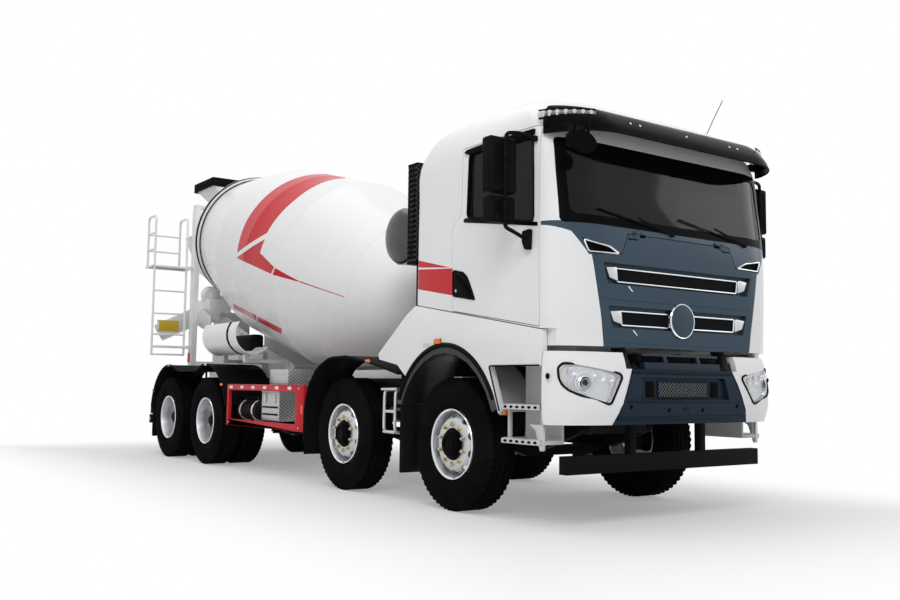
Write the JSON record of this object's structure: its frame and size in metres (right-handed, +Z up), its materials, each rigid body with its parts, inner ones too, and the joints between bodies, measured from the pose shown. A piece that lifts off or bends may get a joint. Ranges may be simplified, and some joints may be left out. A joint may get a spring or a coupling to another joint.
{
  "type": "concrete mixer truck",
  "caption": "Concrete mixer truck with a tilted turning drum, filling hopper, swinging discharge chute, tilting cab, opening doors and steered front axles.",
  "frame": {"origin": "on the ground, under the middle of the whole truck's box", "axes": "+Z up, -Y is the way the cab faces, +X is the truck's left, where the driver sits"},
  "size_m": [3.2, 9.7994, 4.04],
  "materials": {
    "white_paint": "gloss",
    "blue_grey_paint": "gloss metallic",
    "red_paint": "gloss",
    "black_steel": "satin",
    "cast_iron": "rough",
    "black_plastic": "matt",
    "interior_trim": "matt",
    "bare_metal": "satin",
    "rubber": "matt",
    "glass": "clear, dark tint"
  },
  "bodies": {
    "chassis": {"chassis_frame": "black_steel", "engine_block": "cast_iron", "front_axle_1": "black_steel", "front_axle_2": "black_steel", "rear_bogie": "black_steel", "front_bumper": "white_paint", "battery_box": "bare_metal", "air_tanks": "black_steel", "fuel_tank": "bare_metal", "drum_gearbox": "cast_iron", "front_pedestal": "white_paint", "water_tank": "bare_metal", "mixer_frame": "white_paint", "hopper": "white_paint", "discharge_hood": "white_paint", "rear_ladder": "white_paint", "stored_chute": "white_paint", "front_fender_right": "white_paint", "front_fender_left": "white_paint", "second_fender_right": "black_plastic", "second_fender_left": "black_plastic", "rear_fender_right": "black_plastic", "rear_fender_left": "black_plastic", "side_guard_right": "red_paint", "side_guard_left": "red_paint"},
    "cab": {"cab_shell": "white_paint", "windscreen": "glass", "sun_visor": "black_plastic", "dashboard": "interior_trim", "steering_wheel": "interior_trim", "intake_stack": "black_plastic", "seat_right": "interior_trim", "seat_left": "interior_trim"},
    "front_panel_lid": {"front_panel": "blue_grey_paint"},
    "mixer_drum": {"drum": "white_paint"},
    "chute_swivel": {"chute_carrier": "white_paint"},
    "chute_trough": {"chute": "white_paint"},
    "door_right_leaf": {"door_right": "white_paint", "mirror_right": "black_plastic"},
    "door_left_leaf": {"door_left": "white_paint", "mirror_left": "black_plastic"},
    "hub_right_1": {"knuckle_right_1": "cast_iron"},
    "wheel_right_1": {"tyre_right_1": "rubber", "rim_right_1": "bare_metal"},
    "hub_left_1": {"knuckle_left_1": "cast_iron"},
    "wheel_left_1": {"tyre_left_1": "rubber", "rim_left_1": "bare_metal"},
    "hub_right_2": {"knuckle_right_2": "cast_iron"},
    "wheel_right_2": {"tyre_right_2": "rubber", "rim_right_2": "bare_metal"},
    "hub_left_2": {"knuckle_left_2": "cast_iron"},
    "wheel_left_2": {"tyre_left_2": "rubber", "rim_left_2": "bare_metal"},
    "wheel_right_3": {"twin_wheel_right_3": "rubber"},
    "wheel_left_3": {"twin_wheel_left_3": "rubber"},
    "wheel_right_4": {"twin_wheel_right_4": "rubber"},
    "wheel_left_4": {"twin_wheel_left_4": "rubber"}
  },
  "joints": [
    {"name": "cab_tilt", "type": "hinge", "parent": "chassis", "child": "cab", "pos_m": [0, -4.69971, 1.15], "axis": [1, 0, 0], "range_deg": [0, 50]},
    {"name": "front_panel_hinge", "type": "hinge", "parent": "cab", "child": "front_panel_lid", "pos_m": [0, -4.74771, 2.166], "axis": [-1, 0, 0], "range_deg": [0, 60]},
    {"name": "door_right_hinge", "type": "hinge", "parent": "cab", "child": "door_right_leaf", "pos_m": [-1.222, -4.49971, 1.76], "axis": [0, 0, 1], "range_deg": [0, 70]},
    {"name": "door_left_hinge", "type": "hinge", "parent": "cab", "child": "door_left_leaf", "pos_m": [1.222, -4.49971, 1.76], "axis": [0, 0, -1], "range_deg": [0, 70]},
    {"name": "steer_right_1", "type": "hinge", "parent": "chassis", "child": "hub_right_1", "pos_m": [-0.905, -3.31971, 0.54], "axis": [0, 0, 1], "range_deg": [-35, 35]},
    {"name": "roll_right_1", "type": "hinge", "parent": "hub_right_1", "child": "wheel_right_1", "pos_m": [-1.03, -3.31971, 0.54], "axis": [1, 0, 0], "continuous": true},
    {"name": "steer_left_1", "type": "hinge", "parent": "chassis", "child": "hub_left_1", "pos_m": [0.905, -3.31971, 0.54], "axis": [0, 0, 1], "range_deg": [-35, 35]},
    {"name": "roll_left_1", "type": "hinge", "parent": "hub_left_1", "child": "wheel_left_1", "pos_m": [1.03, -3.31971, 0.54], "axis": [1, 0, 0], "continuous": true},
    {"name": "steer_right_2", "type": "hinge", "parent": "chassis", "child": "hub_right_2", "pos_m": [-0.905, -1.51971, 0.54], "axis": [0, 0, 1], "range_deg": [-25, 25]},
    {"name": "roll_right_2", "type": "hinge", "parent": "hub_right_2", "child": "wheel_right_2", "pos_m": [-1.03, -1.51971, 0.54], "axis": [1, 0, 0], "continuous": true},
    {"name": "steer_left_2", "type": "hinge", "parent": "chassis", "child": "hub_left_2", "pos_m": [0.905, -1.51971, 0.54], "axis": [0, 0, 1], "range_deg": [-25, 25]},
    {"name": "roll_left_2", "type": "hinge", "parent": "hub_left_2", "child": "wheel_left_2", "pos_m": [1.03, -1.51971, 0.54], "axis": [1, 0, 0], "continuous": true},
    {"name": "roll_right_3", "type": "hinge", "parent": "chassis", "child": "wheel_right_3", "pos_m": [-1.1, 1.88029, 0.54], "axis": [1, 0, 0], "continuous": true},
    {"name": "roll_left_3", "type": "hinge", "parent": "chassis", "child": "wheel_left_3", "pos_m": [1.1, 1.88029, 0.54], "axis": [1, 0, 0], "continuous": true},
    {"name": "roll_right_4", "type": "hinge", "parent": "chassis", "child": "wheel_right_4", "pos_m": [-1.1, 3.23029, 0.54], "axis": [1, 0, 0], "continuous": true},
    {"name": "roll_left_4", "type": "hinge", "parent": "chassis", "child": "wheel_left_4", "pos_m": [1.1, 3.23029, 0.54], "axis": [1, 0, 0], "continuous": true},
    {"name": "drum_turn", "type": "hinge", "parent": "chassis", "child": "mixer_drum", "pos_m": [0, -2.45571, 1.573], "axis": [0, 0.9661, 0.2581], "continuous": true},
    {"name": "chute_turn", "type": "hinge", "parent": "chassis", "child": "chute_swivel", "pos_m": [0, 4.20029, 1.62], "axis": [0, 0, -1], "range_deg": [-8, 150]},
    {"name": "chute_lift", "type": "hinge", "parent": "chute_swivel", "child": "chute_trough", "pos_m": [0, 4.20029, 2.09], "axis": [0.454, 0.891, 0], "range_deg": [-15, 15]}
  ],
  "couplings": [
    {"joint": "steer_left_1", "follows": "steer_right_1", "ratio": 1},
    {"joint": "steer_right_2", "follows": "steer_right_1", "ratio": 0.69},
    {"joint": "steer_left_2", "follows": "steer_right_1", "ratio": 0.69}
  ]
}
